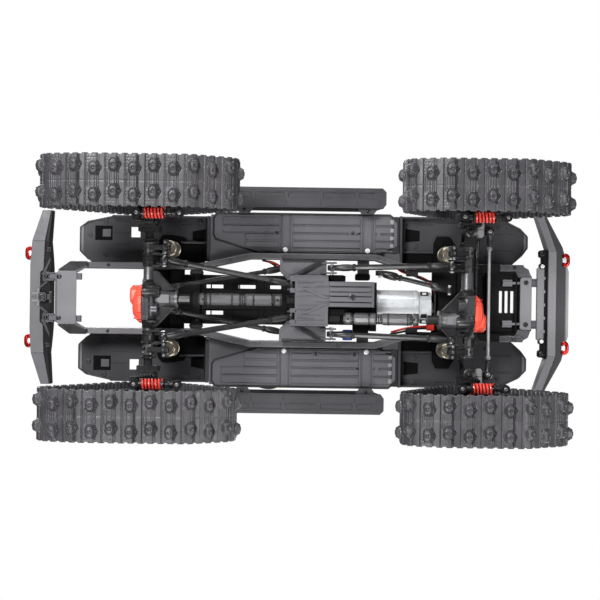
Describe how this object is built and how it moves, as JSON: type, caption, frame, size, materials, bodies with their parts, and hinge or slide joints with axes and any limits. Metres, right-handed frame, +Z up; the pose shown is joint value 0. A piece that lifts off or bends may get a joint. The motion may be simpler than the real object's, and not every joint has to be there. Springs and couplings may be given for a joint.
{
  "type": "tracked crawler chassis",
  "caption": "Radio-controlled trail crawler chassis on triangular rubber track units, with solid portal axles, links, driveshafts, steering, motor, floor pans and bumpers.",
  "frame": {"origin": "centre of the bounding box on the ground plane, under the belts", "axes": "+X forward, towards the steered axle; +Y left; +Z up"},
  "size_m": [0.574, 0.271, 0.174],
  "materials": {
    "panel_plastic": "moulded dark grey, satin",
    "black_plastic": "moulded black, satin",
    "bumper_plastic": "moulded grey, satin",
    "belt_rubber": "matt rubber with moulded lugs",
    "red_plastic": "moulded red, satin",
    "red_steel": "red coated spring wire with black ends",
    "motor_steel": "bright plated steel",
    "shock_bronze": "bronze anodised aluminium"
  },
  "bodies": {
    "chassis": {"skid_plate": "panel_plastic", "front_bumper_mount": "panel_plastic", "rear_bumper_mount": "panel_plastic", "gearbox_housing": "black_plastic", "battery_tray": "black_plastic", "steering_servo": "black_plastic", "front_bumper": "bumper_plastic", "rear_bumper": "bumper_plastic", "motor": "motor_steel", "front_shock_tower": "black_plastic", "rear_shock_tower": "black_plastic", "floor_pan_left": "panel_plastic", "rock_slider_left": "panel_plastic", "front_inner_fender_left": "panel_plastic", "rear_inner_fender_left": "panel_plastic", "frame_rail_left": "black_plastic", "floor_pan_right": "panel_plastic", "rock_slider_right": "panel_plastic", "front_inner_fender_right": "panel_plastic", "rear_inner_fender_right": "panel_plastic", "frame_rail_right": "black_plastic"},
    "front_axle": {"front_axle_housing": "black_plastic", "front_diff_cover": "red_plastic"},
    "rear_axle": {"rear_axle_housing": "black_plastic", "rear_diff_cover": "red_plastic"},
    "tie_rod": {"tie_rod": "motor_steel"},
    "rear_lower_link_left": {"rear_lower_link_left": "black_plastic"},
    "rear_lower_link_right": {"rear_lower_link_right": "black_plastic"},
    "rear_upper_link_left": {"rear_upper_link_left": "black_plastic"},
    "rear_upper_link_right": {"rear_upper_link_right": "black_plastic"},
    "front_lower_link_left": {"front_lower_link_left": "black_plastic"},
    "front_lower_link_right": {"front_lower_link_right": "black_plastic"},
    "rear_driveshaft": {"rear_driveshaft": "black_plastic"},
    "front_driveshaft": {"front_driveshaft": "black_plastic"},
    "knuckle_left": {"steering_knuckle_left": "black_plastic"},
    "knuckle_right": {"steering_knuckle_right": "black_plastic"},
    "front_left_track": {"front_left_track_frame": "black_plastic", "front_left_belt": "belt_rubber", "front_left_damper": "red_steel"},
    "front_left_sprocket": {"front_left_sprocket": "black_plastic"},
    "front_left_rear_idler": {"front_left_rear_idler": "black_plastic"},
    "front_left_front_idler": {"front_left_front_idler": "black_plastic"},
    "front_right_track": {"front_right_track_frame": "black_plastic", "front_right_belt": "belt_rubber", "front_right_damper": "red_steel"},
    "front_right_sprocket": {"front_right_sprocket": "black_plastic"},
    "front_right_rear_idler": {"front_right_rear_idler": "black_plastic"},
    "front_right_front_idler": {"front_right_front_idler": "black_plastic"},
    "rear_left_track": {"rear_left_track_frame": "black_plastic", "rear_left_belt": "belt_rubber", "rear_left_damper": "red_steel"},
    "rear_left_sprocket": {"rear_left_sprocket": "black_plastic"},
    "rear_left_rear_idler": {"rear_left_rear_idler": "black_plastic"},
    "rear_left_front_idler": {"rear_left_front_idler": "black_plastic"},
    "rear_right_track": {"rear_right_track_frame": "black_plastic", "rear_right_belt": "belt_rubber", "rear_right_damper": "red_steel"},
    "rear_right_sprocket": {"rear_right_sprocket": "black_plastic"},
    "rear_right_rear_idler": {"rear_right_rear_idler": "black_plastic"},
    "rear_right_front_idler": {"rear_right_front_idler": "black_plastic"}
  },
  "joints": [
    {"name": "front_axle_travel", "type": "slide", "parent": "chassis", "child": "front_axle", "axis": [0, 0, 1], "range_m": [0, 0.016], "stiffness_N_per_m": 900, "springref_m": -0.02},
    {"name": "rear_axle_travel", "type": "slide", "parent": "chassis", "child": "rear_axle", "axis": [0, 0, 1], "range_m": [0, 0.016], "stiffness_N_per_m": 900, "springref_m": -0.02},
    {"name": "rear_lower_link_left_pivot", "type": "hinge", "parent": "chassis", "child": "rear_lower_link_left", "pos_m": [-0.004, 0.0165, 0.116], "axis": [0, 1, 0], "range_deg": [0, 7.45]},
    {"name": "rear_lower_link_right_pivot", "type": "hinge", "parent": "chassis", "child": "rear_lower_link_right", "pos_m": [-0.004, -0.0165, 0.116], "axis": [0, 1, 0], "range_deg": [0, 7.45]},
    {"name": "rear_upper_link_left_pivot", "type": "hinge", "parent": "chassis", "child": "rear_upper_link_left", "pos_m": [-0.011, 0.034, 0.141], "axis": [0, 1, 0], "range_deg": [0, 7.45]},
    {"name": "rear_upper_link_right_pivot", "type": "hinge", "parent": "chassis", "child": "rear_upper_link_right", "pos_m": [-0.011, -0.034, 0.141], "axis": [0, 1, 0], "range_deg": [0, 7.45]},
    {"name": "front_lower_link_left_pivot", "type": "hinge", "parent": "chassis", "child": "front_lower_link_left", "pos_m": [0.037, 0.034, 0.116], "axis": [0, 1, 0], "range_deg": [-7.98, 0]},
    {"name": "front_lower_link_right_pivot", "type": "hinge", "parent": "chassis", "child": "front_lower_link_right", "pos_m": [0.037, -0.034, 0.116], "axis": [0, 1, 0], "range_deg": [-7.98, 0]},
    {"name": "rear_driveshaft_pivot", "type": "hinge", "parent": "chassis", "child": "rear_driveshaft", "pos_m": [-0.016, 0, 0.116], "axis": [0, 1, 0], "range_deg": [0, 10.94]},
    {"name": "front_driveshaft_pivot", "type": "hinge", "parent": "chassis", "child": "front_driveshaft", "pos_m": [0.051, 0.018, 0.116], "axis": [0, 1, 0], "range_deg": [-12.15, 0]},
    {"name": "steering_left", "type": "hinge", "parent": "front_axle", "child": "knuckle_left", "pos_m": [0.175, 0.072, 0.1045], "axis": [0, 0, 1], "range_deg": [-22, 22]},
    {"name": "steering_right", "type": "hinge", "parent": "front_axle", "child": "knuckle_right", "pos_m": [0.175, -0.072, 0.1045], "axis": [0, 0, 1], "range_deg": [-22, 22]},
    {"name": "tie_rod_slide", "type": "slide", "parent": "front_axle", "child": "tie_rod", "axis": [0, 1, 0], "range_m": [-0.0086, 0.0086]},
    {"name": "front_left_track_rock", "type": "hinge", "parent": "knuckle_left", "child": "front_left_track", "pos_m": [0.175, 0.1105, 0.092], "axis": [0, 1, 0], "range_deg": [-10, 10], "stiffness_Nm_per_rad": 1, "deforming": ["front_left_damper"]},
    {"name": "front_left_sprocket_spin", "type": "hinge", "parent": "knuckle_left", "child": "front_left_sprocket", "pos_m": [0.175, 0.1105, 0.092], "axis": [0, 1, 0], "continuous": true},
    {"name": "front_left_rear_idler_spin", "type": "hinge", "parent": "front_left_track", "child": "front_left_rear_idler", "pos_m": [0.1232, 0.1105, 0.0325], "axis": [0, 1, 0], "continuous": true},
    {"name": "front_left_front_idler_spin", "type": "hinge", "parent": "front_left_track", "child": "front_left_front_idler", "pos_m": [0.2428, 0.1105, 0.0445], "axis": [0, 1, 0], "continuous": true},
    {"name": "front_right_track_rock", "type": "hinge", "parent": "knuckle_right", "child": "front_right_track", "pos_m": [0.175, -0.1105, 0.092], "axis": [0, 1, 0], "range_deg": [-10, 10], "stiffness_Nm_per_rad": 1, "deforming": ["front_right_damper"]},
    {"name": "front_right_sprocket_spin", "type": "hinge", "parent": "knuckle_right", "child": "front_right_sprocket", "pos_m": [0.175, -0.1105, 0.092], "axis": [0, 1, 0], "continuous": true},
    {"name": "front_right_rear_idler_spin", "type": "hinge", "parent": "front_right_track", "child": "front_right_rear_idler", "pos_m": [0.1232, -0.1105, 0.0325], "axis": [0, 1, 0], "continuous": true},
    {"name": "front_right_front_idler_spin", "type": "hinge", "parent": "front_right_track", "child": "front_right_front_idler", "pos_m": [0.2428, -0.1105, 0.0445], "axis": [0, 1, 0], "continuous": true},
    {"name": "rear_left_track_rock", "type": "hinge", "parent": "rear_axle", "child": "rear_left_track", "pos_m": [-0.15, 0.1105, 0.092], "axis": [0, 1, 0], "range_deg": [-10, 10], "stiffness_Nm_per_rad": 1, "deforming": ["rear_left_damper"]},
    {"name": "rear_left_sprocket_spin", "type": "hinge", "parent": "rear_axle", "child": "rear_left_sprocket", "pos_m": [-0.15, 0.1105, 0.092], "axis": [0, 1, 0], "continuous": true},
    {"name": "rear_left_rear_idler_spin", "type": "hinge", "parent": "rear_left_track", "child": "rear_left_rear_idler", "pos_m": [-0.2238, 0.1105, 0.0325], "axis": [0, 1, 0], "continuous": true},
    {"name": "rear_left_front_idler_spin", "type": "hinge", "parent": "rear_left_track", "child": "rear_left_front_idler", "pos_m": [-0.0773, 0.1105, 0.0425], "axis": [0, 1, 0], "continuous": true},
    {"name": "rear_right_track_rock", "type": "hinge", "parent": "rear_axle", "child": "rear_right_track", "pos_m": [-0.15, -0.1105, 0.092], "axis": [0, 1, 0], "range_deg": [-10, 10], "stiffness_Nm_per_rad": 1, "deforming": ["rear_right_damper"]},
    {"name": "rear_right_sprocket_spin", "type": "hinge", "parent": "rear_axle", "child": "rear_right_sprocket", "pos_m": [-0.15, -0.1105, 0.092], "axis": [0, 1, 0], "continuous": true},
    {"name": "rear_right_rear_idler_spin", "type": "hinge", "parent": "rear_right_track", "child": "rear_right_rear_idler", "pos_m": [-0.2238, -0.1105, 0.0325], "axis": [0, 1, 0], "continuous": true},
    {"name": "rear_right_front_idler_spin", "type": "hinge", "parent": "rear_right_track", "child": "rear_right_front_idler", "pos_m": [-0.0773, -0.1105, 0.0425], "axis": [0, 1, 0], "continuous": true}
  ],
  "couplings": [
    {"joint": "rear_lower_link_left_pivot", "follows": "rear_axle_travel", "rad_per_m": 7.6923},
    {"joint": "rear_lower_link_right_pivot", "follows": "rear_axle_travel", "rad_per_m": 7.6923},
    {"joint": "rear_upper_link_left_pivot", "follows": "rear_axle_travel", "rad_per_m": 7.6923},
    {"joint": "rear_upper_link_right_pivot", "follows": "rear_axle_travel", "rad_per_m": 7.6923},
    {"joint": "front_lower_link_left_pivot", "follows": "front_axle_travel", "rad_per_m": -8.2645},
    {"joint": "front_lower_link_right_pivot", "follows": "front_axle_travel", "rad_per_m": -8.2645},
    {"joint": "rear_driveshaft_pivot", "follows": "rear_axle_travel", "rad_per_m": 11.494},
    {"joint": "front_driveshaft_pivot", "follows": "front_axle_travel", "rad_per_m": -12.82},
    {"joint": "steering_right", "follows": "steering_left", "ratio": 1},
    {"joint": "tie_rod_slide", "follows": "steering_left", "m_per_rad": 0.0215},
    {"joint": "front_left_rear_idler_spin", "follows": "front_left_sprocket_spin", "ratio": 1.7941},
    {"joint": "front_left_front_idler_spin", "follows": "front_left_sprocket_spin", "ratio": 1.7941},
    {"joint": "front_right_rear_idler_spin", "follows": "front_right_sprocket_spin", "ratio": 1.7941},
    {"joint": "front_right_front_idler_spin", "follows": "front_right_sprocket_spin", "ratio": 1.7941},
    {"joint": "rear_left_rear_idler_spin", "follows": "rear_left_sprocket_spin", "ratio": 1.7941},
    {"joint": "rear_left_front_idler_spin", "follows": "rear_left_sprocket_spin", "ratio": 1.7941},
    {"joint": "rear_right_rear_idler_spin", "follows": "rear_right_sprocket_spin", "ratio": 1.7941},
    {"joint": "rear_right_front_idler_spin", "follows": "rear_right_sprocket_spin", "ratio": 1.7941}
  ]
}
